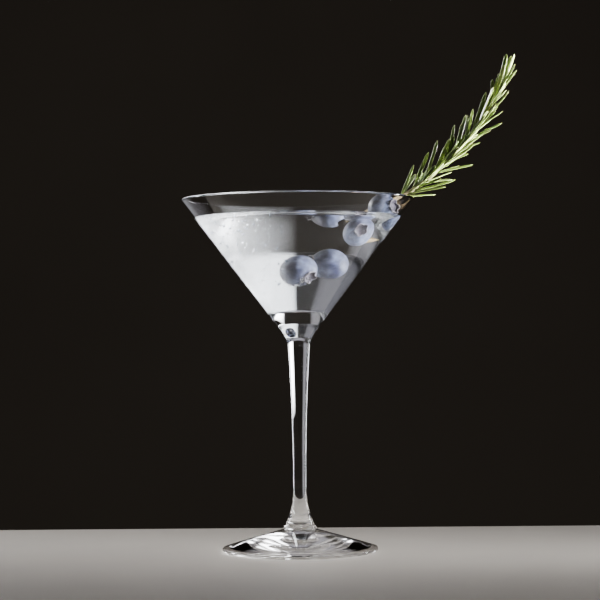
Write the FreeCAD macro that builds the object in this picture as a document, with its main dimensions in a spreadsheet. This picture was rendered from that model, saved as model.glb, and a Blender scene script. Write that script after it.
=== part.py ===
import FreeCAD, Part
import math
import os
import Sketcher
from FreeCAD import Placement, Rotation, Vector

# A stemmed cocktail glass holding a clear drink, with two blueberries that float
# against the wall and a rosemary sprig laid over the rim.
# Millimetres; the origin is the centre of the ring that the foot stands on,
# +Z is up, and the sprig leans out towards +X.

doc = FreeCAD.newDocument("cocktail")
sheet = doc.addObject("Spreadsheet::Sheet", "Sizes")

SIZES = (
    # glass
    ("glassHeight", 174.0),      # rim above the table
    ("rimRadius", 57.5),         # outermost radius of the rounded lip
    ("wallThickness", 1.3),      # bowl wall, square to its face
    ("bowlDepth", 56.0),         # rim to inside floor
    ("floorRadius", 14.2),       # where the wall's inside would meet the floor, unrounded
    ("floorFillet", 3.5),        # between floor and wall, inside
    ("kneeFillet", 14.0),        # between bowl and stem, outside
    ("waistHeight", 31.5),       # where the stem is slimmest
    ("waistRadius", 3.15),
    ("stemFlare", 1045.0),       # arc that widens the stem upwards
    ("footFlare", 44.0),         # arc that widens the stem down to the foot
    ("beadHeight", 11.8),        # middle of the fused ring between stem and foot
    ("beadRadius", 0.8),
    ("footRadius", 38.5),
    ("footEdge", 1.1),           # radius of the foot's rounded edge
    ("standWidth", 3.0),         # width of the flat ring that stands on the table
    ("footHollow", 4.5),         # depth of the hollow under the foot
    # drink
    ("drinkGap", 10.2),          # rim to the drink's surface
    # blueberries at the drink's surface
    ("berryRadius", 7.9),
    ("berryHalfHeight", 7.1),    # along the line from stalk to crown
    ("berryClearance", 0.15),    # between berry and wall
    ("highRise", 4.4),           # of the high berry's centre above the drink's surface
    ("highBearing", -8.0),       # degrees round the glass from +X
    ("highTilt", 80.0),          # degrees that its crown leans from upright
    ("highFacing", -42.0),       # degrees from +X of the way its crown leans
    ("lowRise", -5.2),           # the low berry is mostly under the surface
    ("lowBearing", -38.0),
    ("lowTilt", 97.0),
    ("lowFacing", -72.0),
    ("crownRadius", 3.0),
    ("crownHeight", 0.9),
    ("crownWall", 0.6),
    ("crownNotch", 0.9),
    # rosemary sprig
    ("stemRadius", 1.15),        # at the cut end
    ("stemTipRadius", 0.7),
    ("rimBearing", 27.6),        # degrees round the glass to where the stem crosses the rim
    ("dipDepth", 2.6),           # of the cut end below the drink's level
    ("dipReach", 35.0),          # from the rim in to the cut end, seen from above
    ("sprigReach", 56.2),        # from the rim out to the tip, along X
    ("sprigRise", 62.5),         # from the rim up to the tip
    ("sprigDrift", 2.0),         # from the rim to the tip, along Y
    ("startLift", 24.0),         # degrees above level where the stem leaves the rim
    ("tipLift", 66.0),           # degrees above level at the tip
    ("needleLength", 17.0),
    ("needleWidth", 1.0),        # at the stem; the tip is half as wide and as thick
    ("needleThickness", 0.7),
)

for row, (alias, number) in enumerate(SIZES, start=1):
    sheet.set("A%d" % row, alias)
    sheet.set("B%d" % row, str(number))
    sheet.setAlias("B%d" % row, alias)

# Sizes that follow from the others. The bowl's angle is the one at which a wall that is
# centred under the lip has its inner face at floorRadius on the floor.
DERIVED = (
    ("lipRadius", "=wallThickness / 2"),
    ("lipCentreRadius", "=rimRadius - lipRadius"),
    ("lipCentreHeight", "=glassHeight - lipRadius"),
    ("floorHeight", "=glassHeight - bowlDepth"),
    ("drinkLevel", "=glassHeight - drinkGap"),
    ("wallRun", "=lipCentreRadius - floorRadius"),
    ("wallRise", "=lipCentreHeight - floorHeight"),
    ("bowlHalfAngle", "=acos(lipRadius / hypot(wallRun; wallRise)) / 1 deg"
                      " - atan(wallRise / wallRun) / 1 deg"),
    ("drinkRadius", "=lipCentreRadius - lipRadius / cos(bowlHalfAngle * 1 deg)"
                    " - (lipCentreHeight - drinkLevel) * tan(bowlHalfAngle * 1 deg)"),
    ("standInnerRadius", "=footRadius - footEdge - standWidth"),
)
for row, (alias, formula) in enumerate(DERIVED, start=len(SIZES) + 2):
    sheet.set("A%d" % row, alias)
    sheet.set("B%d" % row, formula)
    sheet.setAlias("B%d" % row, alias)
doc.recompute()


def size(alias):
    return float(sheet.get(alias))


class Outline:
    """A closed chain of lines and arcs in a sketch, drawn in (radius, height)."""

    def __init__(self, sketch):
        self.sketch = sketch
        self.pieces = []         # (geometry index, vertex it starts at, vertex it ends at)

    def line(self, start, end):
        number = self.sketch.addGeometry(
            Part.LineSegment(Vector(*start, 0), Vector(*end, 0)), False)
        self.pieces.append((number, 1, 2))
        return number

    def arc(self, centre, start, end, clockwise):
        radius = math.dist(centre, start)
        angles = [math.atan2(p[1] - centre[1], p[0] - centre[0]) for p in (start, end)]
        if clockwise:
            angles.reverse()
        if angles[1] < angles[0]:
            angles[1] += 2 * math.pi
        circle = Part.Circle(Vector(*centre, 0), Vector(0, 0, 1), radius)
        number = self.sketch.addGeometry(Part.ArcOfCircle(circle, *angles), False)
        self.pieces.append((number, 2, 1) if clockwise else (number, 1, 2))
        return number

    def join(self, smooth):
        """Joins each piece to the next; those numbered in smooth run on tangentially."""
        following = self.pieces[1:] + self.pieces[:1]
        for (one, _, end), (other, start, _) in zip(self.pieces, following):
            kind = "Tangent" if one in smooth else "Coincident"
            self.sketch.addConstraint(Sketcher.Constraint(kind, one, end, other, start))

    def bind(self, kind, where, alias):
        """Adds a dimension, read from the sheet's cell."""
        value = size(alias)
        if kind == "Angle":
            value = math.radians(value)
        number = self.sketch.addConstraint(Sketcher.Constraint(kind, *where, value))
        unit = " * 1 deg" if kind == "Angle" else ""
        self.sketch.setExpression("Constraints[%d]" % number, "Sizes.%s%s" % (alias, unit))

    def fix(self, kind, *where):
        self.sketch.addConstraint(Sketcher.Constraint(kind, *where))


# vertex codes of a sketch's geometry, and its two axes
START, END, CENTRE = 1, 2, 3
ORIGIN = (-1, 1)
H_AXIS, V_AXIS = -1, -2


def new_body(label):
    """A body with a sketch on its own XZ plane."""
    body = doc.addObject("PartDesign::Body", label + "_body")
    sketch = body.newObject("Sketcher::SketchObject", label + "_outline")
    plane = [f for f in body.Origin.OriginFeatures if f.Role == "XZ_Plane"][0]
    sketch.AttachmentSupport = [(plane, "")]
    sketch.MapMode = "FlatFace"
    return body, sketch


def revolve(body, sketch):
    turned = body.newObject("PartDesign::Revolution", sketch.Name + "_turned")
    turned.Profile = sketch
    turned.ReferenceAxis = (sketch, ["V_Axis"])
    turned.Angle = 360.0
    body.Tip = turned
    doc.recompute()
    if not sketch.FullyConstrained:
        raise RuntimeError(sketch.Name + " isn't fully constrained")
    return turned


def along(point, direction, distance):
    return (point[0] + direction[0] * distance, point[1] + direction[1] * distance)


# The wall runs up and out in this direction, and faces the outside in the other.
half_angle = math.radians(size("bowlHalfAngle"))
wall_up = (math.sin(half_angle), math.cos(half_angle))
wall_out = (math.cos(half_angle), -math.sin(half_angle))
lip = size("lipRadius")
lip_centre = (size("lipCentreRadius"), size("lipCentreHeight"))
lip_inside = along(lip_centre, wall_out, -lip)
lip_outside = along(lip_centre, wall_out, lip)
floor_height = size("floorHeight")


def inner_radius(height):
    """Radius of the bowl's inner wall at a height above its floor fillet."""
    return lip_inside[0] - (lip_inside[1] - height) * math.tan(half_angle)


def floor_corner():
    """Centre of the floor fillet and its ends on the floor and on the wall."""
    fillet = size("floorFillet")
    centre_radius = inner_radius(floor_height + fillet) - fillet / math.cos(half_angle)
    centre = (centre_radius, floor_height + fillet)
    return centre, (centre_radius, floor_height), along(centre, wall_out, fillet)


def knee_arc():
    """Centre and ends of the arc that is tangent to the bowl's outside and the stem."""
    knee, flare = size("kneeFillet"), size("stemFlare")
    flare_centre = (size("waistRadius") + flare, size("waistHeight"))
    offset_start = along(lip_outside, wall_out, knee)
    to_start = (offset_start[0] - flare_centre[0], offset_start[1] - flare_centre[1])
    # distance down the wall at which the arc's centre is flare - knee from the flare's
    half_b = to_start[0] * wall_up[0] + to_start[1] * wall_up[1]
    rest = to_start[0] ** 2 + to_start[1] ** 2 - (flare - knee) ** 2
    down = half_b + math.sqrt(half_b ** 2 - rest)
    if down > size("glassHeight"):
        down = half_b - math.sqrt(half_b ** 2 - rest)
    centre = along(offset_start, wall_up, -down)
    on_wall = along(centre, wall_out, -knee)
    reach = math.dist(centre, flare_centre)
    towards = ((centre[0] - flare_centre[0]) / reach, (centre[1] - flare_centre[1]) / reach)
    return centre, on_wall, along(flare_centre, towards, flare)


def build_glass():
    body, sketch = new_body("glass")
    outline = Outline(sketch)
    fillet_centre, floor_end, wall_start = floor_corner()
    knee_centre, knee_top, knee_bottom = knee_arc()
    waist = (size("waistRadius"), size("waistHeight"))
    stem_centre = along(waist, (1, 0), size("stemFlare"))
    flare_centre = along(waist, (1, 0), size("footFlare"))
    bead = size("beadRadius")
    bead_top_height = size("beadHeight") + bead
    drop = waist[1] - bead_top_height
    bead_radius = flare_centre[0] - math.sqrt(size("footFlare") ** 2 - drop ** 2)
    bead_centre = (bead_radius, size("beadHeight"))
    bead_top = along(bead_centre, (0, 1), bead)
    bead_bottom = along(bead_centre, (0, 1), -bead)
    edge = size("footEdge")
    edge_centre = (size("footRadius") - edge, edge)
    slope_length = math.dist(bead_bottom, edge_centre)
    slope = math.atan2(bead_bottom[1] - edge_centre[1], edge_centre[0] - bead_bottom[0])
    normal_angle = math.pi / 2 - slope + math.asin(edge / slope_length)
    edge_top = along(edge_centre, (math.cos(normal_angle), math.sin(normal_angle)), edge)
    stand_outer = (edge_centre[0], 0.0)
    stand_inner = (size("standInnerRadius"), 0.0)
    hollow = size("footHollow")
    hollow_radius = (stand_inner[0] ** 2 + hollow ** 2) / (2 * hollow)
    hollow_centre = (0.0, hollow - hollow_radius)

    floor = outline.line((0.0, floor_height), floor_end)
    corner = outline.arc(fillet_centre, floor_end, wall_start, clockwise=False)
    inside = outline.line(wall_start, lip_inside)
    lip_arc = outline.arc(lip_centre, lip_inside, lip_outside, clockwise=True)
    outside = outline.line(lip_outside, knee_top)
    knee = outline.arc(knee_centre, knee_top, knee_bottom, clockwise=False)
    stem = outline.arc(stem_centre, knee_bottom, waist, clockwise=False)
    flare = outline.arc(flare_centre, waist, bead_top, clockwise=False)
    ring = outline.arc(bead_centre, bead_top, bead_bottom, clockwise=True)
    top = outline.line(bead_bottom, edge_top)
    rim = outline.arc(edge_centre, edge_top, stand_outer, clockwise=True)
    stand = outline.line(stand_outer, stand_inner)
    under = outline.arc(hollow_centre, stand_inner, (0.0, hollow), clockwise=False)
    axis = outline.line((0.0, hollow), (0.0, floor_height))
    outline.join(smooth=(floor, corner, inside, lip_arc, outside, knee, stem, top, rim))

    outline.fix("Horizontal", floor)
    outline.fix("PointOnObject", floor, START, V_AXIS)
    outline.fix("PointOnObject", axis, START, V_AXIS)
    outline.bind("DistanceY", (*ORIGIN, floor, START), "floorHeight")
    outline.bind("Radius", (corner,), "floorFillet")
    outline.bind("Radius", (lip_arc,), "lipRadius")
    outline.bind("DistanceX", (*ORIGIN, lip_arc, CENTRE), "lipCentreRadius")
    outline.bind("DistanceY", (*ORIGIN, lip_arc, CENTRE), "lipCentreHeight")
    outline.fix("Parallel", inside, outside)
    outline.bind("Angle", (inside, START, V_AXIS, START), "bowlHalfAngle")
    outline.bind("Radius", (knee,), "kneeFillet")
    outline.bind("Radius", (stem,), "stemFlare")
    outline.bind("DistanceX", (*ORIGIN, flare, START), "waistRadius")
    outline.bind("DistanceY", (*ORIGIN, flare, START), "waistHeight")
    outline.bind("DistanceY", (*ORIGIN, flare, CENTRE), "waistHeight")
    outline.bind("Radius", (flare,), "footFlare")
    outline.bind("Radius", (ring,), "beadRadius")
    outline.bind("DistanceY", (*ORIGIN, ring, CENTRE), "beadHeight")
    outline.fix("Vertical", ring, START, ring, CENTRE)
    outline.fix("Vertical", ring, END, ring, CENTRE)
    outline.bind("Radius", (rim,), "footEdge")
    outline.bind("DistanceX", (*ORIGIN, stand, END), "standInnerRadius")
    outline.bind("DistanceX", (stand, END, stand, START), "standWidth")
    outline.fix("PointOnObject", stand, START, H_AXIS)
    outline.fix("PointOnObject", stand, END, H_AXIS)
    outline.fix("PointOnObject", under, CENTRE, V_AXIS)
    outline.bind("DistanceY", (*ORIGIN, axis, START), "footHollow")
    revolve(body, sketch)
    return body


def build_drink_fill():
    """The drink as poured, before the berries and the stem take their room."""
    body, sketch = new_body("fill")
    outline = Outline(sketch)
    fillet_centre, floor_end, wall_start = floor_corner()
    level = size("drinkLevel")
    edge = (size("drinkRadius"), level)
    floor = outline.line((0.0, floor_height), floor_end)
    corner = outline.arc(fillet_centre, floor_end, wall_start, clockwise=False)
    side = outline.line(wall_start, edge)
    surface = outline.line(edge, (0.0, level))
    axis = outline.line((0.0, level), (0.0, floor_height))
    outline.join(smooth=(floor, corner))

    outline.fix("Horizontal", floor)
    outline.fix("Horizontal", surface)
    outline.fix("PointOnObject", axis, START, V_AXIS)
    outline.fix("PointOnObject", axis, END, V_AXIS)
    outline.bind("DistanceY", (*ORIGIN, floor, START), "floorHeight")
    outline.bind("Radius", (corner,), "floorFillet")
    outline.bind("Angle", (side, START, V_AXIS, START), "bowlHalfAngle")
    outline.bind("DistanceX", (*ORIGIN, side, END), "drinkRadius")
    outline.bind("DistanceY", (*ORIGIN, side, END), "drinkLevel")
    revolve(body, sketch)
    return body


def primitive(kind, name, placement=None, **sizes):
    """A Part primitive whose sizes are expressions on the sheet."""
    made = doc.addObject("Part::" + kind, name)
    for prop, formula in sizes.items():
        made.setExpression(prop, formula)
    if placement:
        made.Placement = placement
    return made


def build_berry(name):
    """An oblate berry with a notched crown round the dimple opposite its stalk."""
    flesh = primitive("Ellipsoid", name + "_flesh",
                      Radius1="Sizes.berryHalfHeight", Radius2="Sizes.berryRadius")
    # the crown's ring starts below the skin and stands crownHeight above the pole
    sunk = 2 * size("crownHeight")
    base = Vector(0, 0, size("berryHalfHeight") - sunk)
    ring = primitive("Cone", name + "_crown", Placement(base, Rotation()),
                     Radius1="Sizes.crownRadius - Sizes.crownWall",
                     Radius2="Sizes.crownRadius", Height="3 * Sizes.crownHeight")
    body = doc.addObject("Part::Fuse", name + "_with_crown")
    body.Base, body.Tool = flesh, ring
    # the dimple leaves the ring's wall standing and goes just below the pole
    dimple_base = base + Vector(0, 0, sunk - size("crownHeight") / 2)
    dimple = primitive("Cone", name + "_dimple", Placement(dimple_base, Rotation()),
                       Radius1="Sizes.crownRadius - 2 * Sizes.crownWall",
                       Radius2="Sizes.crownRadius - Sizes.crownWall",
                       Height="3 * Sizes.crownHeight")
    tools = [dimple]
    lobes = 5
    for number in range(lobes):
        turn = Rotation(Vector(0, 0, 1), 360.0 / lobes * number)
        corner = Vector(0, -size("crownNotch") / 2, size("berryHalfHeight"))
        tools.append(primitive("Box", "%s_notch_%d" % (name, number + 1),
                               Placement(turn.multVec(corner), turn),
                               Length="2 * Sizes.crownRadius", Width="Sizes.crownNotch",
                               Height="2 * Sizes.crownHeight"))
    cuts = doc.addObject("Part::MultiFuse", name + "_cuts")
    cuts.Shapes = tools
    berry = doc.addObject("Part::Cut", name + "_berry")
    berry.Base, berry.Tool = body, cuts

    # The berry leans on the wall: its centre is as far in as its skin or its crown,
    # whichever is further, reaches towards the wall, measured square to the wall.
    bearing = Rotation(Vector(0, 0, 1), size(name + "Bearing"))
    facing = Rotation(Vector(0, 0, 1), size(name + "Facing"))
    lean = facing * Rotation(Vector(0, 1, 0), size(name + "Tilt"))
    axis = lean.multVec(Vector(0, 0, 1))
    outward = bearing.multVec(Vector(wall_out[0], 0, wall_out[1]))
    share = outward.dot(axis)
    skin_reach = math.sqrt((size("berryHalfHeight") * share) ** 2
                           + size("berryRadius") ** 2 * (1 - share ** 2))
    crown_reach = ((size("berryHalfHeight") + size("crownHeight")) * share
                   + size("crownRadius") * math.sqrt(1 - share ** 2))
    reach = max(skin_reach, crown_reach)
    height = size("drinkLevel") + size(name + "Rise")
    gap = (reach + size("berryClearance")) / math.cos(half_angle)
    centre = bearing.multVec(Vector(inner_radius(height) - gap, 0, height))
    berry.Placement = Placement(centre, lean)
    return berry


def sprig_path():
    """Points down the middle of the sprig's stem, from the cut end to the tip."""
    bearing = math.radians(size("rimBearing"))
    radial = Vector(math.cos(bearing), math.sin(bearing), 0)
    rest = radial * lip_centre[0] + Vector(0, 0, size("glassHeight") + size("stemRadius"))
    fall = rest.z - size("drinkLevel") + size("dipDepth")
    cut_end = rest - radial * size("dipReach") - Vector(0, 0, fall)
    tip = rest + Vector(size("sprigReach"), size("sprigDrift"), size("sprigRise"))
    handle = (tip - rest).Length / 3
    start, finish = math.radians(size("startLift")), math.radians(size("tipLift"))
    leaving = rest + (radial * math.cos(start) + Vector(0, 0, math.sin(start))) * handle
    arriving = tip - Vector(math.cos(finish), 0, math.sin(finish)) * handle
    steps = 7
    points = [cut_end]
    for step in range(steps + 1):
        along_curve = step / steps
        back = 1 - along_curve
        points.append(rest * back ** 3 + leaving * (3 * back ** 2 * along_curve)
                      + arriving * (3 * back * along_curve ** 2) + tip * along_curve ** 3)
    return points


def between(points, distance):
    """The point and direction at a distance along a chain of points."""
    for one, other in zip(points, points[1:]):
        run = other - one
        if distance <= run.Length or other is points[-1]:
            direction = Vector(run).normalize()
            return one + direction * distance, direction
        distance -= run.Length


def build_sprig():
    points = sprig_path()
    runs = [(b - a).Length for a, b in zip(points, points[1:])]
    total = sum(runs)
    thick, thin = size("stemRadius"), size("stemTipRadius")
    outside_length = total - runs[0]

    def radius_at(distance):
        outside = max(0.0, distance - runs[0])
        return thick + (thin - thick) * outside / outside_length

    # The stem is a loft through polygons set square to its path.
    sections = []
    done = 0.0
    for number, place in enumerate(points):
        before, after = points[max(number - 1, 0)], points[min(number + 1, len(points) - 1)]
        ring = doc.addObject("Part::RegularPolygon", "stem_ring_%d" % (number + 1))
        ring.Polygon = 8
        ring.Circumradius = radius_at(done)
        ring.Placement = Placement(place, Rotation(Vector(0, 0, 1), after - before))
        sections.append(ring)
        if number < len(runs):
            done += runs[number]
    stem = doc.addObject("Part::Loft", "stem")
    stem.Sections = sections
    stem.Solid = True
    stem.Ruled = True
    pieces = [stem]

    # Needles stand in opposite pairs, each pair a quarter turn from the last, and lean
    # forwards. Their length and lean vary a little from one to the next.
    pair_spacing, first = 3.7, runs[0] + 4.0
    pairs = int((total - first) / pair_spacing) + 1
    for pair in range(pairs):
        place, direction = between(points, first + pair * pair_spacing)
        nearness = pair / (pairs - 1)
        for side in (0, 1):
            number = 2 * pair + side
            wave = math.sin(2.4 * number + 0.7)
            roll = 90.0 * pair + 180.0 * side + 25.0 * wave
            lean = 34.0 - 14.0 * nearness + 7.0 * math.cos(1.7 * number)
            length = size("needleLength") * (1.0 - 0.22 * nearness + 0.12 * wave)
            # the needle's length is along Y, its width along X
            face = Rotation(Vector(0, 0, 1), direction)
            pose = face * Rotation(Vector(0, 0, 1), roll) * Rotation(Vector(1, 0, 0), 90 - lean)
            needle = doc.addObject("Part::Wedge", "needle_%d" % (number + 1))
            half_width, half_depth = size("needleWidth") / 2, size("needleThickness") / 2
            needle.Xmin, needle.Xmax = -half_width, half_width
            needle.Zmin, needle.Zmax = -half_depth, half_depth
            needle.X2min, needle.X2max = -half_width / 2, half_width / 2
            needle.Z2min, needle.Z2max = -half_depth / 2, half_depth / 2
            needle.Ymin, needle.Ymax = 0, length
            needle.Placement = Placement(place, pose)
            pieces.append(needle)
    sprig = doc.addObject("Part::MultiFuse", "sprig")
    sprig.Shapes = pieces
    return sprig


glass = build_glass()
fill = build_drink_fill()
high_berry = build_berry("high")
low_berry = build_berry("low")
sprig = build_sprig()
garnish = doc.addObject("Part::MultiFuse", "garnish")
garnish.Shapes = [high_berry, low_berry, sprig]
drink = doc.addObject("Part::Cut", "drink_left")
drink.Base, drink.Tool = fill, garnish
doc.recompute()

glass.Label = "glass"
drink.Label = "drink"
high_berry.Label = "blueberry_high"
low_berry.Label = "blueberry_low"
sprig.Label = "rosemary_sprig"
sub_parts = (glass, drink, high_berry, low_berry, sprig)

for item in doc.Objects:
    if "Invalid" in item.State or "Error" in item.State:
        raise RuntimeError("%s failed: %s" % (item.Name, item.State))
for item in sub_parts:
    if item.Shape.isNull() or not item.Shape.isValid() or len(item.Shape.Solids) != 1:
        raise RuntimeError("%s isn't one valid solid" % item.Label)

os.makedirs("parts", exist_ok=True)
for item in sub_parts:
    item.Shape.exportStep(os.path.join("parts", item.Label + ".step"))
    box = item.Shape.BoundBox
    print("%-16s %9.1f mm3  X %.1f..%.1f  Y %.1f..%.1f  Z %.1f..%.1f" % (
        item.Label, item.Shape.Volume, box.XMin, box.XMax, box.YMin, box.YMax,
        box.ZMin, box.ZMax))
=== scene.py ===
import math
import random

import bmesh
import bpy
from mathutils import Matrix, Vector, noise


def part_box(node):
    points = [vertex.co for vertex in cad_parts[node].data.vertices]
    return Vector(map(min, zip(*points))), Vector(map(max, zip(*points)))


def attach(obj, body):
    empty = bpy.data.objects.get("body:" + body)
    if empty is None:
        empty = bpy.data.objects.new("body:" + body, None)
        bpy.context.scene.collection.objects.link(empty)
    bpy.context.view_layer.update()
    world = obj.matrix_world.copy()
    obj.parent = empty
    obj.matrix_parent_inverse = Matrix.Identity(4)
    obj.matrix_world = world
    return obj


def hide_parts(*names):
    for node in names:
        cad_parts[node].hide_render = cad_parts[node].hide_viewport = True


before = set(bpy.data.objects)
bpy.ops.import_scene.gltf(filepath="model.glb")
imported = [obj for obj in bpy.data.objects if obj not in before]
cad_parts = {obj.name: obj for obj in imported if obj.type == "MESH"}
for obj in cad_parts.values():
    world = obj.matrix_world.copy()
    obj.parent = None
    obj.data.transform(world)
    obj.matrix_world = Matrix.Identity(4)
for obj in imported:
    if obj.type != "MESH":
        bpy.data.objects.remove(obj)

# A cocktail glass with a clear drink, blueberries and a sprig of rosemary.
# Metres; lengths in the dictionaries are millimetres, times mm where they are used.

mm = 0.001
scene = bpy.context.scene
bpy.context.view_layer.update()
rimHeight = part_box("glass")[1].z
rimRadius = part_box("glass")[1].x
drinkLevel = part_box("drink")[1].z
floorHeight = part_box("drink")[0].z


class Wire:
    # an output socket of a material; sums on it add Math nodes
    def __init__(self, paint, socket):
        self.paint = paint
        self.socket = socket

    def __add__(self, other):
        return self.paint.maths("ADD", self, other)

    def __radd__(self, other):
        return self.paint.maths("ADD", other, self)

    def __sub__(self, other):
        return self.paint.maths("SUBTRACT", self, other)

    def __rsub__(self, other):
        return self.paint.maths("SUBTRACT", other, self)

    def __mul__(self, other):
        return self.paint.maths("MULTIPLY", self, other)

    def __rmul__(self, other):
        return self.paint.maths("MULTIPLY", other, self)

    def __pow__(self, other):
        return self.paint.maths("POWER", self, other)


class Paint:
    # the nodes of a material, a light or the room
    def __init__(self, owner):
        self.owner = owner
        self.owner.use_nodes = True
        self.tree = self.owner.node_tree
        self.tree.nodes.clear()

    def node(self, kind, settings, sockets, output=0):
        made = self.tree.nodes.new("ShaderNode" + kind)
        for key, value in settings.items():
            if key == "stops":
                self.setStops(made.color_ramp.elements, value)
            else:
                setattr(made, key, value)
        for key, value in sockets.items():
            if isinstance(value, Wire):
                self.tree.links.new(value.socket, made.inputs[key])
            else:
                made.inputs[key].default_value = value
        return Wire(self, made.outputs[output]) if made.outputs else None

    def setStops(self, elements, stops):
        while len(elements) < len(stops):
            elements.new(1.0)
        for element, (place, shade) in zip(elements, stops):
            element.position = place
            element.color = (shade, shade, shade, 1)

    def maths(self, operation, first, second):
        return self.node("Math", {"operation": operation}, {0: first, 1: second})

    def blend(self, factor, first, second):
        settings = {"data_type": "RGBA", "clamp_factor": True}
        first, second = [c if isinstance(c, Wire) else (*c, 1) for c in (first, second)]
        return self.node("Mix", settings, {0: factor, 6: first, 7: second}, 2)

    def ramp(self, value, *stops):
        return self.node("ValToRGB", {"stops": stops}, {0: value})

    def place(self):
        return self.node("TexCoord", {}, {}, "Object")

    def along(self, axis, place=None):
        return self.node("SeparateXYZ", {}, {"Vector": place or self.place()}, axis)

    def grain(self, scale, detail=3.0, stretch=(1, 1, 1), roughness=0.5):
        where = self.node("Mapping", {}, {"Vector": self.place(), "Scale": stretch})
        sockets = {"Vector": where, "Scale": scale, "Detail": detail, "Roughness": roughness}
        return self.node("TexNoise", {}, sockets, "Fac")

    def attribute(self, name):
        return self.node("Attribute", {"attribute_name": name}, {}, "Fac")

    def bump(self, height, distance, strength=1.0):
        return self.node("Bump", {}, {"Height": height, "Distance": distance,
                                      "Strength": strength})

    def surface(self, sockets, veil=None, share=0.0):
        shader = self.node("BsdfPrincipled", {}, sockets)
        if veil:
            shader = self.node("MixShader", {}, {0: share, 1: shader, 2: veil})
        self.node("OutputMaterial", {}, {"Surface": shader})
        return self.owner


def makePiece(name, points, faces, material, slotName, replaced=()):
    mesh = bpy.data.meshes.new(name)
    mesh.from_pydata([tuple(p) for p in points], [], faces)
    mesh.polygons.foreach_set("use_smooth", [True] * len(mesh.polygons))
    mesh.materials.append(material)
    piece = bpy.data.objects.new(name, mesh)
    scene.collection.objects.link(piece)
    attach(piece, "root")
    if replaced:
        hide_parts(*replaced)
    return piece


def addNumbers(piece, name, values):
    layer = piece.data.attributes.new(name, "FLOAT", "POINT")
    layer.data.foreach_set("value", values)


def lathe(profile, turns):
    # profile runs from the axis back to the axis with the solid on its left
    points = [(0, 0, profile[0][1])]
    for radius, height in profile[1:-1]:
        for step in range(turns):
            angle = 2 * math.pi * step / turns
            points.append((radius * math.cos(angle), radius * math.sin(angle), height))
    points.append((0, 0, profile[-1][1]))
    rings = len(profile) - 2
    last = len(points) - 1
    faces = []
    for step in range(turns):
        onward = (step + 1) % turns
        faces.append((0, 1 + onward, 1 + step))
        for ring in range(rings - 1):
            a, b = 1 + ring * turns, 1 + (ring + 1) * turns
            faces.append((a + step, a + onward, b + onward, b + step))
        end = 1 + (rings - 1) * turns
        faces.append((last, end + step, end + onward))
    return points, faces


def straight(start, end, step):
    # points from start up to but not including end, closer at both ends and in the middle
    crowding = 0.7
    length = math.dist(start, end)
    count = max(3, int(length / step))
    points = []
    for number in range(count):
        share = number / count
        share = share - crowding * math.sin(4 * math.pi * share) / (4 * math.pi)
        points.append((start[0] + (end[0] - start[0]) * share,
                       start[1] + (end[1] - start[1]) * share))
    return points


def arc(centre, radius, first, last, count):
    # points round a centre from one angle to another, in degrees, without the last
    points = []
    for number in range(count):
        angle = math.radians(first + (last - first) * number / count)
        points.append((centre[0] + radius * math.cos(angle), centre[1] + radius * math.sin(angle)))
    return points


def beside(point, angle, distance):
    angle = math.radians(angle)
    return (point[0] + math.cos(angle) * distance, point[1] + math.sin(angle) * distance)


glassShape = {
    "wall": 1.3,
    "floorRadius": 14.2,
    "floorFillet": 3.5,
    "kneeFillet": 14.0,
    "waistHeight": 31.5,
    "waistRadius": 3.15,
    "stemFlare": 1045.0,
    "footFlare": 44.0,
    "beadHeight": 11.8,
    "beadRadius": 0.8,
    "footRadius": 38.5,
    "footEdge": 1.1,
    "standWidth": 3.0,
    "footHollow": 4.5,
    "turns": 224,
    "step": 1.5,
}
shape = {key: value * mm for key, value in glassShape.items()}
lip = shape["wall"] / 2
lipCentre = (rimRadius - lip, rimHeight - lip)
wallRun = lipCentre[0] - shape["floorRadius"]
wallRise = lipCentre[1] - floorHeight
# degrees between the bowl's wall and the glass's axis
bowlAngle = math.degrees(math.acos(lip / math.hypot(wallRun, wallRise))
                         - math.atan2(wallRise, wallRun))
innerTop = beside(lipCentre, -bowlAngle, -lip)
outerTop = beside(lipCentre, -bowlAngle, lip)


def innerRadius(height):
    return innerTop[0] - (innerTop[1] - height) * math.tan(math.radians(bowlAngle))


def outerRadius(height):
    return outerTop[0] - (outerTop[1] - height) * math.tan(math.radians(bowlAngle))


def roundBowl(radius, bearing, height):
    return Vector((radius * math.cos(bearing), radius * math.sin(bearing), height))


def floorCorner():
    fillet = shape["floorFillet"]
    middle = floorHeight + fillet
    return (innerRadius(middle) - fillet / math.cos(math.radians(bowlAngle)), middle)


def kneeCentre():
    # the arc touches the bowl's outside and the stem's long flare
    knee, flare = shape["kneeFillet"], shape["stemFlare"]
    flareCentre = Vector((shape["waistRadius"] + flare, shape["waistHeight"]))
    start = Vector(beside(outerTop, -bowlAngle, knee))
    down = Vector(beside((0, 0), 90 - bowlAngle, -1))
    away = start - flareCentre
    half = away.dot(down)
    travel = -half + math.sqrt(half ** 2 - away.length_squared + (flare - knee) ** 2)
    return start + down * travel, flareCentre


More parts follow.
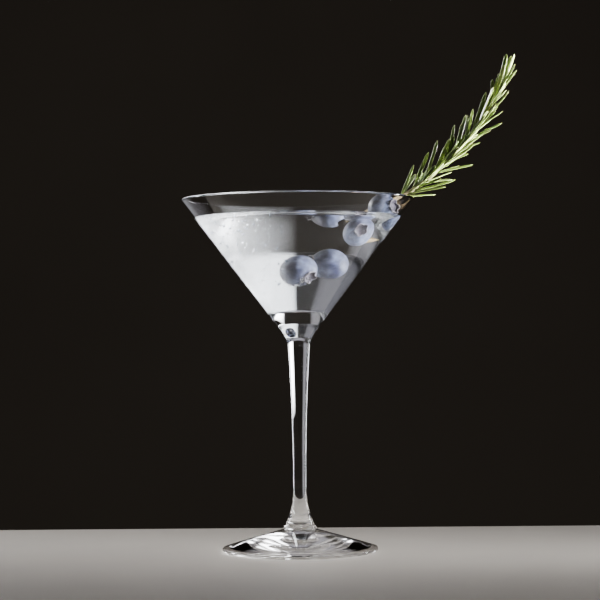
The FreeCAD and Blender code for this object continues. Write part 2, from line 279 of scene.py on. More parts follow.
def glassProfile():
    step = shape["step"]
    corner, fillet = floorCorner(), shape["floorFillet"]
    knee, flareCentre = kneeCentre()
    waist = shape["waistHeight"]
    kneeEnd = math.degrees(math.atan2(knee.y - flareCentre.y, knee.x - flareCentre.x)) % 360
    footCentre = (shape["waistRadius"] + shape["footFlare"], waist)
    beadTop = shape["beadHeight"] + shape["beadRadius"]
    footEnd = 180 + math.degrees(math.asin((waist - beadTop) / shape["footFlare"]))
    bead = (beside(footCentre, footEnd, shape["footFlare"])[0], shape["beadHeight"])
    beadBottom = (bead[0], bead[1] - shape["beadRadius"])
    edge = shape["footEdge"]
    edgeCentre = (shape["footRadius"] - edge, edge)
    reach = math.dist(beadBottom, edgeCentre)
    slope = math.atan2(beadBottom[1] - edge, edgeCentre[0] - bead[0])
    edgeStart = 90 - math.degrees(slope - math.asin(edge / reach))
    edgeTop = beside(edgeCentre, edgeStart, edge)
    standInner = edgeCentre[0] - shape["standWidth"]
    hollow = shape["footHollow"]
    hollowRadius = (standInner ** 2 + hollow ** 2) / (2 * hollow)
    hollowStart = 90 - math.degrees(math.asin(standInner / hollowRadius))
    wallFoot = beside(corner, -bowlAngle, fillet)
    kneeStart = beside(knee, -bowlAngle, -shape["kneeFillet"])

    profile = straight((0, floorHeight), (corner[0], floorHeight), step)
    profile += arc(corner, fillet, -90, -bowlAngle, 10)
    profile += straight(wallFoot, innerTop, step)
    profile += arc(lipCentre, lip, 180 - bowlAngle, -bowlAngle, 16)
    profile += straight(outerTop, kneeStart, step)
    profile += arc(knee, shape["kneeFillet"], 180 - bowlAngle, kneeEnd, 14)
    profile += arc(flareCentre, shape["stemFlare"], kneeEnd, 180, 40)
    profile += arc(footCentre, shape["footFlare"], 180, footEnd, 20)
    profile += arc(bead, shape["beadRadius"], 90, -90, 10)
    profile += straight(beadBottom, edgeTop, step)
    profile += arc(edgeCentre, edge, edgeStart, -90, 14)
    profile += straight((edgeCentre[0], 0), (standInner, 0), step)
    profile += arc((0, hollow - hollowRadius), hollowRadius, hollowStart, 90, 24)
    profile.append((0, hollow))
    return profile[::-1]


dewSpread = {
    "seed": 23,
    "count": 110,
    "size": (0.22, 0.80),
    "sizeBias": 2.5,             # more small ones than large
    "bearings": (200, 262),      # degrees round the bowl, on its left front
    "heights": (124, 164),
    "heightBias": 0.45,          # more of them high up
    "stand": 0.35,               # how far each stands off the wall, in radii
}


def scatter(chance, spread):
    # the radius, bearing and height of each drop or bubble on the bowl's wall
    small, large = spread["size"]
    low, high = spread["heights"]
    for _ in range(spread["count"]):
        radius = (small + (large - small) * chance.random() ** spread["sizeBias"]) * mm
        height = (low + (high - low) * chance.random() ** spread["heightBias"]) * mm
        yield radius, math.radians(chance.uniform(*spread["bearings"])), height


def addBall(centre, radius, points, faces, inward=False):
    ball = bmesh.new()
    bmesh.ops.create_icosphere(ball, subdivisions=2, radius=radius)
    start = len(points)
    points += [v.co + centre for v in ball.verts]
    for face in ball.faces:
        corners = [start + v.index for v in face.verts]
        faces.append(tuple(reversed(corners)) if inward else tuple(corners))
    ball.free()


def clearGlass():
    paint = Paint(bpy.data.materials.new("clearGlass"))
    wobble = paint.grain(26, 1.0)                      # the surface of blown glass is never flat
    smears = paint.grain(55, 5.0, (1, 1, 0.35), 0.65)
    haze = paint.ramp(smears, (0.55, 0.0), (0.82, 1.0))
    sideways, height = [paint.along(axis) for axis in "XZ"]
    chilled = paint.ramp((height - floorHeight) * 20, (0.05, 0.0), (0.2, 1.0), (0.78, 1.0),
                         (0.9, 0.0))                   # cold below the drink's surface
    oneSide = paint.ramp(0.5 - sideways * 20, (0.50, 0.0), (0.80, 1.0))
    mist = chilled * (0.3 + smears * 0.8) * (0.05 + oneSide * 0.13)
    dew = chilled * oneSide * paint.ramp(smears, (0.25, 0.4), (0.7, 1.0))
    fog = paint.node("BsdfPrincipled", {}, {"Base Color": (0.97, 0.98, 1.0, 1), "IOR": 1.33,
                                            "Transmission Weight": 1.0, "Roughness": 0.62})
    clear = {
        "Base Color": (0.985, 0.992, 0.995, 1),
        "Roughness": haze * 0.02 + mist,
        "Transmission Weight": 1.0,
        "IOR": 1.5,
        "Normal": paint.bump(wobble, 0.0004, 0.04),
    }
    return paint.surface(clear, fog, dew * 0.25)


def waterBead():
    paint = Paint(bpy.data.materials.new("waterBead"))
    ripple = paint.grain(900, 1.0)
    return paint.surface({
        # the grey tint is painted shade: it stands in for the dark look the beads get from the
        # dark room they refract
        "Base Color": (0.60, 0.63, 0.68, 1),      # greyer than water, so that the beads show
        "Roughness": 0.0,
        "Transmission Weight": 1.0,
        "IOR": 1.33,
        "Normal": paint.bump(ripple, 0.00005, 0.2),
    })


def makeDew():
    # beads of water on the outside of the chilled bowl
    chance = random.Random(dewSpread["seed"])
    points, faces = [], []
    for radius, bearing, height in scatter(chance, dewSpread):
        out = outerRadius(height) + radius * dewSpread["stand"]
        addBall(roundBowl(out, bearing, height), radius, points, faces)
    return makePiece("bowlDew", points, faces, waterBead(), "clear_drink")


glass = makePiece("glassBowlStemFoot", *lathe(glassProfile(), glassShape["turns"]),
                  clearGlass(), "clear_glass", ["glass"])
dew = makeDew()
print("glass made,", len(glass.data.polygons), "faces, bowl angle %.2f" % bowlAngle)


# Berries. The two that break the surface stand where their nodes do.
berryShape = {
    "radius": 7.9,
    "halfHeight": 7.1,
    "crown": 3.3,
    "crownHeight": 0.9,
    "shoulder": 0.45,        # from the crown out to where the round of the berry begins
    "lobes": 5,
    "lobeDip": 0.95,         # how deep the gaps between lobes are, in crown heights
    "lobeReach": 0.9,        # how far the lobes stand out
    "scarRadius": 1.1,       # where the stalk was
    "scarDepth": 0.45,
    "around": 110,
    "rows": 40,
    "lump": 0.16,
    "twist": 900,            # turns each crown its own way, by the berry's place
}


def boxCentre(node):
    low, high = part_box(node)
    return (low + high) / 2


def facing(bearing, tilt):
    bearing, tilt = math.radians(bearing), math.radians(tilt)
    return Vector((math.sin(tilt) * math.cos(bearing), math.sin(tilt) * math.sin(bearing),
                   math.cos(tilt)))


def berryProfile(radius, halfHeight):
    # rows of radius, height, how much the lobes shape it, and how far into the crown
    crown, rise, top = berryShape["crown"], berryShape["crownHeight"], halfHeight
    rows = [(0.0, top - 1.25, 0, 1.0), (0.5, top - 1.2, 0, 1.0), (1.0, top - 1.3, 0, 1.0),
            (1.5, top - 1.25, 0, 1.0), (1.95, top - 1.0, 0, 1.0),
            (crown - 0.8, top - 0.55, 0.1, 1.0), (crown - 0.62, top - 0.05, 0.5, 1.0),
            (crown - 0.4, top + rise * 0.6, 0.9, 1.0), (crown - 0.15, top + rise * 0.95, 1.0, 0.9),
            (crown + 0.02, top + rise, 1.0, 0.8), (crown + 0.16, top + rise * 0.75, 0.95, 0.7),
            (crown + 0.1, top + rise * 0.25, 0.6, 0.55), (crown + 0.1, top - 0.25, 0.2, 0.4)]
    start = math.asin((crown + berryShape["shoulder"]) / radius)
    steps = berryShape["rows"]
    for number in range(steps + 1):
        angle = start + (math.pi - start) * number / steps
        spread = radius * math.sin(angle)
        height = halfHeight * math.cos(angle)
        scar = max(0.0, 1 - (spread / berryShape["scarRadius"]) ** 2) if height < 0 else 0.0
        height += berryShape["scarDepth"] * scar
        rows.append((spread, height, 0, max(0.0, 0.3 - 0.1 * number) - scar))
    return rows


def makeBerry(name, centre, crownWay, radius, halfHeight, material, replaced=()):
    rows = berryProfile(radius, halfHeight)
    around = berryShape["around"]
    pose = crownWay.to_track_quat("Z", "Y").to_matrix()
    pose = pose @ Matrix.Rotation(centre[0] * berryShape["twist"], 3, "Z")
    points, crowns = [], []
    for spread, height, lobed, crown in rows[:-1]:
        for step in range(around if points else 1):
            angle = 2 * math.pi * step / around
            wave = abs(math.cos(angle * berryShape["lobes"] / 2)) ** 1.3
            lift = height - lobed * berryShape["crownHeight"] * berryShape["lobeDip"] * (1 - wave)
            out = spread + lobed * berryShape["lobeReach"] * (wave - 0.6)
            local = Vector((out * math.cos(angle), out * math.sin(angle), lift)) * mm
            where = pose @ local + centre
            lumps = noise.noise(where * 190) * 0.7 + noise.noise(where * 520) * 0.3
            points.append(where + (pose @ local).normalized() * lumps * berryShape["lump"] * mm)
            crowns.append(crown)
    points.append(centre + pose @ Vector((0, 0, rows[-1][1] * mm)))
    crowns.append(-1.0)
    last = len(points) - 1
    faces = []
    for step in range(around):
        onward = (step + 1) % around
        faces.append((0, 1 + step, 1 + onward))
        for row in range(len(rows) - 3):
            a, b = 1 + row * around, 1 + (row + 1) * around
            faces.append((a + step, b + step, b + onward, a + onward))
        end = 1 + (len(rows) - 3) * around
        faces.append((last, end + onward, end + step))
    berry = makePiece(name, points, faces, material, "berry_skin", replaced)
    addNumbers(berry, "crown", crowns)
    return berry


def berrySkin():
    paint = Paint(bpy.data.materials.new("berrySkin"))
    crown = paint.attribute("crown")
    patches = paint.grain(120, 3.0, (1, 1, 1), 0.5)
    rubbed = paint.grain(420, 6.0, (1, 0.35, 1), 0.7)
    bloom = paint.ramp(patches * 0.65 + rubbed * 0.35, (0.42, 0.0), (0.64, 1.0))
    onLobes = paint.ramp(crown, (0.35, 0.0), (0.6, 1.0))
    # where the crown's hollow takes its dark colour, partly painted shade
    inside = paint.ramp(crown, (0.82, 0.0), (0.98, 1.0))
    atStalk = paint.ramp(0 - crown, (0.25, 0.0), (0.7, 1.0))
    skin = paint.blend(patches, (0.005, 0.006, 0.016), (0.02, 0.022, 0.05))
    dusty = paint.blend(bloom, skin, (0.115, 0.13, 0.18))
    dried = paint.blend(rubbed, (0.04, 0.03, 0.03), (0.30, 0.28, 0.28))
    # inside the crown: its own dark colour, darkened further towards black as painted shade in the
    # hollow
    hollow = paint.blend(rubbed, (0.006, 0.005, 0.008), (0.09, 0.08, 0.10))
    withCrown = paint.blend(inside * 0.95, paint.blend(onLobes * 0.9, dusty, dried), hollow)
    colour = paint.blend(atStalk, withCrown, (0.3, 0.22, 0.13))
    specks = paint.grain(2600, 2.0)
    return paint.surface({
        "Base Color": colour,
        "Roughness": 0.38 + bloom * 0.3,
        "Coat Weight": 0.7 - bloom * 0.4,
        "Coat Roughness": 0.22,
        "Normal": paint.bump(specks + rubbed * 0.6, 0.00008, 0.5),
    })


skinMaterial = berrySkin()
# name, place, (bearing, tilt) of the crown, radius, half height
sunkBerries = (
    ("berryFront", (0.1, -15.0, 140.6), (-35, 125), 8.6, 7.5),
    ("berryMiddle", (10.6, 9.0, 149.4), (-160, 80), 8.3, 6.7),
)
for name, place, crownWay, radius, halfHeight in sunkBerries:
    makeBerry(name, Vector(place) * mm, facing(*crownWay), radius, halfHeight, skinMaterial)
floating = (
    ("berryHigh", "blueberry_high", (-42, 80)),
    ("berryLow", "blueberry_low", (-72, 97)),
)
floatingCentres = [boxCentre(node) for _, node, _ in floating]
for name, node, crownWay in floating:
    way = facing(*crownWay)
    # the crown makes the node's box a little longer on its side
    centre = boxCentre(node) - way * berryShape["crownHeight"] / 2 * mm
    # a little small, to leave room for the lumps
    radius, halfHeight = berryShape["radius"] - 0.12, berryShape["halfHeight"] - 0.05
    makeBerry(name, centre, way, radius, halfHeight, skinMaterial, [node])
print("berries made")


drinkShape = {
    "overlap": 0.15,         # reach into the wall, so that no air gap shows
    "climb": 1.5,            # of the edge up the wall
    "fade": 1.9,             # distance over which the climb dies away
    "berryClimb": 1.0,
    "firstRing": 0.05,       # rings stand further apart towards the middle
    "ringGrowth": 1.12,
    "widestRing": 0.9,
    "lastRing": 1.2,
    "turns": 200,
}


def drinkProfile():
    overlap = drinkShape["overlap"] * mm
    corner = floorCorner()
    top = drinkLevel + drinkShape["climb"] * mm
    edge = innerRadius(top) + overlap / math.cos(math.radians(bowlAngle))
    base = (0, floorHeight - overlap)
    wallFoot = beside(corner, -bowlAngle, shape["floorFillet"] + overlap)
    profile = straight(base, (corner[0], base[1]), shape["step"])
    profile += arc(corner, shape["floorFillet"] + overlap, -90, -bowlAngle, 10)
    profile += straight(wallFoot, (edge, top), shape["step"])
    inward, gap = 0.0, drinkShape["firstRing"] * mm
    while edge - inward > drinkShape["lastRing"] * mm:
        fall = math.exp(-max(inward - overlap, 0) / (drinkShape["fade"] * mm))
        profile.append((edge - inward, drinkLevel + drinkShape["climb"] * mm * fall))
        inward += gap
        gap = min(gap * drinkShape["ringGrowth"], drinkShape["widestRing"] * mm)
    profile.append((0, drinkLevel))
    return profile


def climbAt(point):
    # the drink also climbs a little round each berry that breaks its surface
    climb = 0.0
    for centre in floatingCentres:
        radius = berryShape["radius"] * mm
        cut = math.sqrt(max(radius ** 2 - (drinkLevel - centre.z) ** 2, 0))
        away = max(math.hypot(point[0] - centre.x, point[1] - centre.y) - cut, 0)
        climb += drinkShape["berryClimb"] * mm * math.exp(-away / (drinkShape["fade"] * mm))
    return climb


bubbleSpread = {
    "seed": 11,
    "count": 90,                 # on the wall
    "size": (0.28, 1.05),
    "sizeBias": 2.4,
    "bearings": (188, 256),      # degrees round the glass, on the wall at the left front
    "heights": (126, 162),
    "heightBias": 0.45,
    "wallGap": 0.03,
    "berryCount": 16,
    "berryBearings": (195, 315),
    "berryTilts": (122, 160),
    "berryGap": 1.3,             # from the berry's skin to a bubble's middle, in radii
}


def addBubbles(points, faces):
    chance = random.Random(bubbleSpread["seed"])
    wallGap = bubbleSpread["wallGap"] * mm
    for radius, bearing, height in scatter(chance, bubbleSpread):
        out = innerRadius(height) - (radius + wallGap) / math.cos(math.radians(bowlAngle))
        addBall(roundBowl(out, bearing, height), radius, points, faces, inward=True)
    # a few more cling under the lowest berry
    _, place, _, berryRadius, _ = sunkBerries[0]
    for _ in range(bubbleSpread["berryCount"]):
        size = chance.uniform(*bubbleSpread["size"]) * mm
        bearing = chance.uniform(*bubbleSpread["berryBearings"])
        way = facing(bearing, chance.uniform(*bubbleSpread["berryTilts"]))
        centre = Vector(place) * mm + way * (berryRadius * mm + size * bubbleSpread["berryGap"])
        addBall(centre, size, points, faces, inward=True)


def clearDrink():
    paint = Paint(bpy.data.materials.new("clearDrink"))
    return paint.surface({
        "Base Color": (0.985, 0.99, 0.992, 1),
        "Roughness": 0.0,
        "Transmission Weight": 1.0,
        "IOR": 1.36,
    })


def makeDrink():
    points, faces = lathe(drinkProfile(), drinkShape["turns"])
    surface = drinkLevel - 0.01 * mm
    points = [Vector(p) for p in points]
    for point in points:
        near = innerRadius(point.z) - math.hypot(point.x, point.y)
        if point.z > surface and near > 0:
            point.z += climbAt(point) * min(near / (0.5 * mm), 1)
    addBubbles(points, faces)
    return makePiece("drinkBody", points, faces, clearDrink(), "clear_drink", ["drink"])


drink = makeDrink()
print("drink made,", len(drink.data.polygons), "faces")


sprigShape = {
    "stemRadius": 1.15,
    "tipRadius": 0.45,
    "rimBearing": 27.6,
    "dipDepth": 2.6,
    "dipReach": 35.0,
    "reach": 56.2,
    "rise": 62.5,
    "drift": 2.0,
    "startLift": 24.0,
    "tipLift": 66.0,
    "insideSteps": 60,       # along the straight part, from the cut end to the rim
    "outsideSteps": 180,
    "pairSpacing": 3.7,
}


def sprigCurve():
    # points down the middle of the stem, 0.5 mm or so apart
    values = sprigShape
    bearing = math.radians(values["rimBearing"])
    radial = Vector((math.cos(bearing), math.sin(bearing), 0))
    rest = radial * lipCentre[0] + Vector((0, 0, rimHeight + values["stemRadius"] * mm))
    fall = rest.z - drinkLevel + values["dipDepth"] * mm
    cutEnd = rest - radial * values["dipReach"] * mm - Vector((0, 0, fall))
    tip = rest + Vector((values["reach"], values["drift"], values["rise"])) * mm
    handle = (tip - rest).length / 3
    start, finish = math.radians(values["startLift"]), math.radians(values["tipLift"])
    leaving = rest + (radial * math.cos(start) + Vector((0, 0, math.sin(start)))) * handle
    arriving = tip - Vector((math.cos(finish), 0, math.sin(finish))) * handle
    inside, outside = values["insideSteps"], values["outsideSteps"]
    points = [cutEnd.lerp(rest, step / inside) for step in range(inside)]
    for step in range(outside + 1):
        on = step / outside
        back = 1 - on
        points.append(rest * back ** 3 + leaving * (3 * back ** 2 * on)
                      + arriving * (3 * back * on ** 2) + tip * on ** 3)
    return points


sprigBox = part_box("rosemary_sprig")
stemLine = sprigCurve()
stemReach = [0.0]
for one, other in zip(stemLine, stemLine[1:]):
    stemReach.append(stemReach[-1] + (other - one).length)
insideLength = stemReach[sprigShape["insideSteps"]]
stemLength = stemReach[-1]


def stemAt(distance):
    # the point and direction of the stem at a distance from its cut end
    distance = min(max(distance, 0), stemLength)
    number = 1
    while number < len(stemReach) - 1 and stemReach[number] < distance:
        number += 1
    span = stemReach[number] - stemReach[number - 1]
    share = (distance - stemReach[number - 1]) / span
    before, after = stemLine[max(number - 4, 0)], stemLine[min(number + 3, len(stemLine) - 1)]
    return stemLine[number - 1].lerp(stemLine[number], share), (after - before).normalized()


def stemRadius(distance):
    outside = max(distance - insideLength, 0) / (stemLength - insideLength)
    thick, thin = sprigShape["stemRadius"] * mm, sprigShape["tipRadius"] * mm
    return thick + (thin - thick) * outside


def acrossFrame(direction):
    # two directions square to the stem
    side = direction.cross(Vector((0, 1, 0))).normalized()
    return side, direction.cross(side).normalized()


def makeStem(material):
    around, rings = 14, 150
    points, along = [], []
    for ring in range(rings + 1):
        distance = stemLength * ring / rings
        middle, direction = stemAt(distance)
        side, back = acrossFrame(direction)
        # four flat sides and a knuckle at each pair of needles
        knuckle = math.cos(2 * math.pi * distance / (sprigShape["pairSpacing"] * mm))
        for step in range(around):
            angle = 2 * math.pi * step / around
            square = 1 + 0.05 * math.cos(4 * angle) + 0.05 * max(knuckle, 0) ** 3
            radius = stemRadius(distance) * square
            if ring == 0:
                radius *= 0.9
            points.append(middle + (side * math.cos(angle) + back * math.sin(angle)) * radius)
            along.append(ring / rings)
    faces = [tuple(reversed(range(around))), tuple(rings * around + n for n in range(around))]
    for ring in range(rings):
        for step in range(around):
            a, b = ring * around + step, ring * around + (step + 1) % around
            faces.append((a, b, b + around, a + around))
    stem = makePiece("sprigStem", points, faces, material, "rosemary_leaf", ["rosemary_sprig"])
    addNumbers(stem, "along", along)
    return stem


needleShape = {
    "seed": 4,
    "perKnuckle": 4,
    "length": 21.0,
    "shorterAtTip": 0.1,
    "halfWidth": 1.0,
    "bareStart": 3.5,
    "bareTip": 3.5,
    "lean": (18, 36),        # degrees from the stem
    "straighterAtTip": 14,
    "placeJitter": (-1.2, 1.2),
    "turnJitter": (-38, 38),
    "lengthJitter": (0.82, 1.08),
    "widthJitter": (0.85, 1.1),
    "faceJitter": (-0.4, 0.4),
    "curl": (-0.3, 0.22),
    # the second pair at each knuckle is shorter, narrower and leans out further
    "secondLean": 5,
    "secondLength": (0.45, 0.85),
    "secondWidth": 0.8,
    "footWidth": 0.5,        # where it leaves the stem, as a share of the full width
    "widening": 3.2,
    "roundFrom": 0.8,        # the tip rounds off from here
    "roundSquared": 0.042,
    "tipLeast": 0.02,
    "boxMargin": 1.2,
    "rings": 14,
}
# across and up in half widths, and how far the point takes the pale colour of the underside and
# edges, which is partly the leaf's own pale underside and partly painted light shining through the
# leaf
needleSection = (
    (-1.0, -0.05, 0.35), (-0.75, 0.24, 0.0), (-0.35, 0.3, 0.0), (0.0, 0.14, 0.0),
    (0.35, 0.3, 0.0), (0.75, 0.24, 0.0), (1.0, -0.05, 0.35), (0.86, -0.34, 0.7),
    (0.55, -0.26, 1.0), (0.2, -0.2, 1.0), (0.0, -0.34, 1.0), (-0.2, -0.2, 1.0),
    (-0.55, -0.26, 1.0), (-0.86, -0.34, 0.7),
)


def needleFullness(share):
    # how wide a needle is at a share of its length
    widening = min(1.0, needleShape["footWidth"] + needleShape["widening"] * share)
    rounding = 1 - max(share - needleShape["roundFrom"], 0) ** 2 / needleShape["roundSquared"]
    return widening * math.sqrt(max(rounding, needleShape["tipLeast"]))


def addNeedle(values, start, direction, outward, length, width, curl, tint):
    points, faces, under, along, tints = values
    count, rings = len(needleSection), needleShape["rings"]
    first = len(points)
    middle = start.copy()
    way = direction.copy()
    for ring in range(rings + 1):
        share = ring / rings
        side = way.cross(outward).normalized()
        up = side.cross(way).normalized()
        full = needleFullness(share)
        for across, height, paleAndLit in needleSection:
            points.append(middle + side * across * width * full - up * height * width * full)
            under.append(paleAndLit)
            along.append(share)
            tints.append(tint)
        middle = middle + way * length / rings
        way = (way + up * curl / rings).normalized()
    for ring in range(rings):
        for step in range(count):
            a, b = first + ring * count + step, first + ring * count + (step + 1) % count
            faces.append((a, a + count, b + count, b))
    faces.append(tuple(first + n for n in range(count)))
    faces.append(tuple(first + rings * count + n for n in reversed(range(count))))


# the needles twist, so that their undersides turn this way: back, down and to the right, towards
# the lamps at the back right, so that their pale colour with its painted light falls on the lit
# side
needleTurn = Vector((0.35, 0.55, -0.5))


def fitLength(start, way, length):
    # keeps a needle's tip within the sprig's own box
    low, high = sprigBox
    margin = needleShape["boxMargin"] * mm
    for axis in range(3):
        if way[axis] > 0:
            room = high[axis] - start[axis] - margin
        else:
            room = start[axis] - low[axis] - margin
        if abs(way[axis]) * length > room:
            length = room / abs(way[axis])
    return length


def makeNeedles(material):
    sizes = needleShape
    chance = random.Random(sizes["seed"])
    values = ([], [], [], [], [])
    spacing = sprigShape["pairSpacing"] * mm
    first = insideLength + sizes["bareStart"] * mm
    knuckles = int((stemLength - sizes["bareTip"] * mm - first) / spacing) + 1
    for knuckle in range(knuckles):
        distance = first + knuckle * spacing
        nearness = knuckle / (knuckles - 1)
        # one fewer where the stem leaves the glass
        for number in range(sizes["perKnuckle"] if knuckle else sizes["perKnuckle"] - 1):
            place, direction = stemAt(distance + chance.uniform(*sizes["placeJitter"]) * mm)
            side, back = acrossFrame(direction)
            turn = 90 * knuckle + 180 * number + chance.uniform(*sizes["turnJitter"])
            turn = math.radians(turn)
            outward = side * math.cos(turn) + back * math.sin(turn)
            second = number > 1
            lean = chance.uniform(*sizes["lean"]) - sizes["straighterAtTip"] * nearness
            length = sizes["length"] * mm * (1 - sizes["shorterAtTip"] * nearness)
            length *= chance.uniform(*sizes["lengthJitter"])
            if second:
                lean += sizes["secondLean"]
                length *= chance.uniform(*sizes["secondLength"])
            width = sizes["halfWidth"] * mm * chance.uniform(*sizes["widthJitter"])
            if second:
                width *= sizes["secondWidth"]
            lean = math.radians(lean)
            way = direction * math.cos(lean) + outward * math.sin(lean)
            start = place + outward * stemRadius(distance) * 0.5
            length = fitLength(start, way, length)
            jitter = Vector([chance.uniform(*sizes["faceJitter"]) for _ in range(3)])
            below = outward * 0.6 + needleTurn + jitter
            addNeedle(values, start, way, below, length, width,
                      chance.uniform(*sizes["curl"]), chance.random())
    points, faces, under, along, tints = values
    needles = makePiece("sprigNeedles", points, faces, material, "rosemary_leaf",
                        ["rosemary_sprig"])
    for name, numbers in (("under", under), ("along", along), ("tint", tints)):
        addNumbers(needles, name, numbers)
    return needles


def needleGreen():
    paint = Paint(bpy.data.materials.new("needleGreen"))
    under, along, tint = [paint.attribute(n) for n in ("under", "along", "tint")]
    mottle = paint.grain(900, 4.0)
    top = paint.blend(tint, (0.045, 0.07, 0.018), (0.13, 0.18, 0.035))
    top = paint.blend(mottle * 0.5, top, (0.16, 0.22, 0.05))
    # the pale underside and edges: the leaf's own paler colour, made a bright yellow-green as
    # painted light shining through the leaf from the right
    paleAndLit = paint.blend(mottle, (0.36, 0.47, 0.10), (0.70, 0.80, 0.36))
    colour = paint.blend(under, top, paleAndLit)
    ends = paint.ramp(along, (0.9, 0.0), (1.0, 1.0))
    colour = paint.blend(ends * 0.5, colour, (0.42, 0.45, 0.16))
    return paint.surface({
        "Base Color": colour,
        "Roughness": 0.36 + under * 0.4,
        "Coat Weight": 0.3 - under * 0.3,
        "Coat Roughness": 0.25,
        "Normal": paint.bump(mottle, 0.0001, 0.4),
    })


def stemBark():
    paint = Paint(bpy.data.materials.new("stemBark"))
    along = paint.attribute("along")
    fibres = paint.grain(800, 4.0, (1, 1, 0.2))
    young = paint.blend(fibres, (0.12, 0.17, 0.05), (0.3, 0.34, 0.15))
    woody = paint.blend(fibres, (0.12, 0.08, 0.045), (0.36, 0.28, 0.17))
    return paint.surface({
        "Base Color": paint.blend(paint.ramp(along, (0.3, 0.0), (0.6, 1.0)), woody, young),
        "Roughness": 0.55 + fibres * 0.25,
        "Normal": paint.bump(fibres, 0.00015, 0.6),
    })


makeStem(stemBark())
needles = makeNeedles(needleGreen())
print("sprig made,", len(needles.data.polygons), "faces")


# Stage: a pale table top and a dark wall behind it.
stageShape = {
    "tableBack": 0.112,
    "tableFront": -0.55,
    "tableHalfWidth": 0.75,
    "tableColour": (0.33, 0.30, 0.265),
    "wallDistance": 1.6,
    "wallColour": (0.021, 0.0175, 0.014),
}


def stageSheet(name, corners, colour, roughness, scale, glow=0.0):
    paint = Paint(bpy.data.materials.new(name + "Paint"))
    mottle = paint.grain(scale, 4.0)
    shade = paint.blend(mottle, [c * 0.85 for c in colour], [c * 1.12 for c in colour])
    material = paint.surface({"Base Color": shade, "Roughness": roughness,
                              "Emission Color": shade, "Emission Strength": glow})
    mesh = bpy.data.meshes.new(name)
    mesh.from_pydata(corners, [], [(0, 1, 2, 3)])
    mesh.materials.append(material)
    sheet = bpy.data.objects.new(name, mesh)
    scene.collection.objects.link(sheet)


def makeStage():
    half, back, front = [stageShape[k] for k in ("tableHalfWidth", "tableBack", "tableFront")]
    table = [(-half, front, 0), (half, front, 0), (half, back, 0), (-half, back, 0)]
    stageSheet("tableTop", table, stageShape["tableColour"], 0.6, 9)
    away = stageShape["wallDistance"]
    wall = [(-3, away, -1.5), (3, away, -1.5), (3, away, 2.5), (-3, away, 2.5)]
    stageSheet("backWall", wall, stageShape["wallColour"], 0.9, 3, 0.8)


makeStage()


# name, place, what it points at, width and height in metres, watts, colour
softLights = (
    ("keyRight", (0.66, 0.90, 0.34), (0, 0, 0.28), 0.66, 0.56, 10.0, (0.97, 0.98, 1.0)),
    ("topRight", (0.36, 0.04, 0.80), (0, 0, 0.15), 0.66, 0.80, 3.6, (0.93, 0.96, 1.0)),
    ("farLeft", (-1.15, 0.25, 0.30), (0, 0, 0.10), 1.20, 0.60, 0.9, (0.93, 0.93, 1.0)),
    ("farRight", (1.15, 0.25, 0.30), (0, 0, 0.10), 1.20, 0.60, 0.9, (0.93, 0.90, 1.0)),
    ("backHigh", (0.10, 1.20, 0.95), (0, 0, 0.10), 1.50, 0.60, 1.1, (0.93, 0.90, 1.0)),
    ("topLeft", (-0.42, 0.05, 0.72), (0, 0, 0.15), 0.45, 0.55, 0.16, (0.90, 0.88, 1.0)),
    ("sideLeft", (-0.50, 0.95, 0.10), (0, 0, 0.12), 0.45, 0.80, 0.35, (0.93, 0.92, 1.0)),
    ("sideRight", (0.70, -0.10, 0.20), (0, 0, 0.15), 0.14, 0.30, 3.0, (0.93, 0.96, 1.0)),
    ("stripRight", (0.95, 0.42, 0.18), (0, 0, 0.12), 0.12, 0.80, 5.5, (0.97, 0.98, 1.0)),
    ("stripLeft", (-0.95, 0.42, 0.18), (0, 0, 0.12), 0.10, 0.80, 4.0, (0.95, 0.96, 1.0)),
    ("sheenLeft", (-0.55, 0.62, 0.50), (0, 0, 0.05), 0.50, 0.45, 1.8, (0.92, 0.95, 1.0)),
    ("gleamFront", (0.10, -0.50, 0.85), (0, 0, 0.05), 0.36, 0.20, 2.2, (1.0, 1.0, 1.0)),
)
# seen only in reflections, as a gleam on the foot and the berries
onlyMirror = ("sheenLeft", "gleamFront")
# not reflected, so that they leave no band along the bowl's edge
noMirror = ("keyRight", "sideRight")
hooded = ("sideRight",)      # a narrow beam, which spares the table
hoodSpread = 24
# name, place, watts, beam in degrees: narrow beams that pick out the sprig
beams = (
    ("beamLeft", (-0.60, 0.50, 0.50), 38.0, 13),
    ("beamRight", (0.65, 0.30, 0.16), 40.0, 13),
)
beamTarget = (0.080, 0.020, 0.212)
roomGlow = {"colour": (0.75, 0.78, 0.85, 1), "strength": 0.04}


def softEdges(light):
    # brightest in the middle and fading to its edges, as a lamp behind cloth does
    paint = Paint(light)
    place = paint.node("NewGeometry", {}, {}, "Parametric")
    across, upward = [paint.along(axis, place) * 2 - 1 for axis in "XY"]
    glow = (1 - (across * across) ** 2) * (1 - (upward * upward) ** 3)
    lit = paint.node("Emission", {}, {"Strength": glow})
    paint.node("OutputLight", {}, {"Surface": lit})


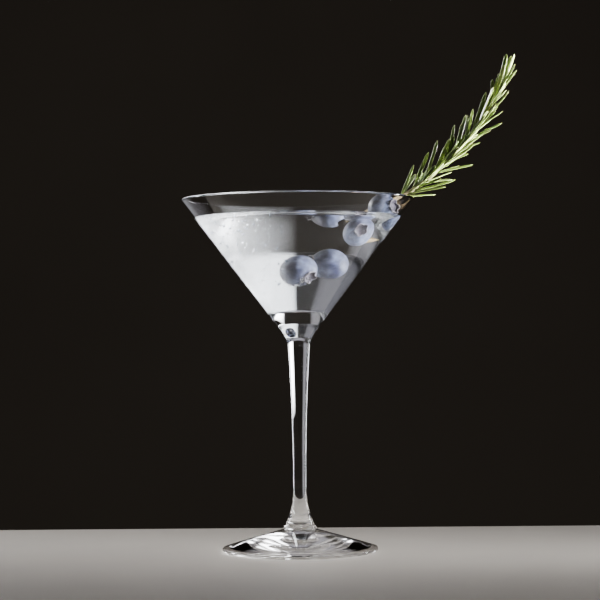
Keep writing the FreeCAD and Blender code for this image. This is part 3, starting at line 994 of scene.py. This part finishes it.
def placeLamp(name, light, place, target):
    lamp = bpy.data.objects.new(name, light)
    lamp.location = place
    lamp.rotation_mode = "QUATERNION"
    lamp.rotation_quaternion = (Vector(target) - Vector(place)).to_track_quat("-Z", "Y")
    lamp.visible_camera = False
    scene.collection.objects.link(lamp)
    return lamp


def makeLights():
    for name, place, target, width, height, watts, colour in softLights:
        light = bpy.data.lights.new(name, "AREA")
        if name in hooded:
            light.spread = math.radians(hoodSpread)
        light.shape = "RECTANGLE"
        light.size, light.size_y = width, height
        light.energy = watts
        light.color = colour
        softEdges(light)
        lamp = placeLamp(name, light, place, target)
        lamp.visible_glossy = name not in noMirror
        lamp.visible_transmission = name not in onlyMirror
        lamp.visible_diffuse = name not in onlyMirror
    for name, place, watts, beam in beams:
        light = bpy.data.lights.new(name, "SPOT")
        light.energy = watts
        light.spot_size = math.radians(beam)
        light.spot_blend = 0.4
        light.shadow_soft_size = 0.06
        lamp = placeLamp(name, light, place, beamTarget)
        lamp.visible_transmission = False
    paint = Paint(bpy.data.worlds.new("room"))
    glow = paint.node("Background", {}, {"Color": roomGlow["colour"],
                                         "Strength": roomGlow["strength"]})
    paint.node("OutputWorld", {}, {"Surface": glow})
    scene.world = paint.owner


makeLights()


cameraSetup = {
    "eye": (0.0008, -0.948, 0.1075),
    "lift": 0.986,           # degrees above level
    "roll": -0.45,
    "lens": 115.0,
}


def makeCamera():
    camera = bpy.data.cameras.new("camera")
    camera.lens = cameraSetup["lens"]
    camera.sensor_width = 36
    holder = bpy.data.objects.new("camera", camera)
    holder.location = cameraSetup["eye"]
    tip = Matrix.Rotation(math.radians(90 + cameraSetup["lift"]), 4, "X")
    roll = Matrix.Rotation(math.radians(cameraSetup["roll"]), 4, "Z")
    holder.rotation_euler = (tip @ roll).to_euler()
    scene.collection.objects.link(holder)
    scene.camera = holder


makeCamera()
scene.view_settings.look = "AgX - Medium High Contrast"
scene.cycles.max_bounces = 28
scene.cycles.transmission_bounces = 28
scene.cycles.glossy_bounces = 12
print("stage, lights and camera made")

# light reaches the berries and the table under the foot through the clear pieces
for clearPiece in (glass, dew, drink):
    clearPiece.visible_shadow = False
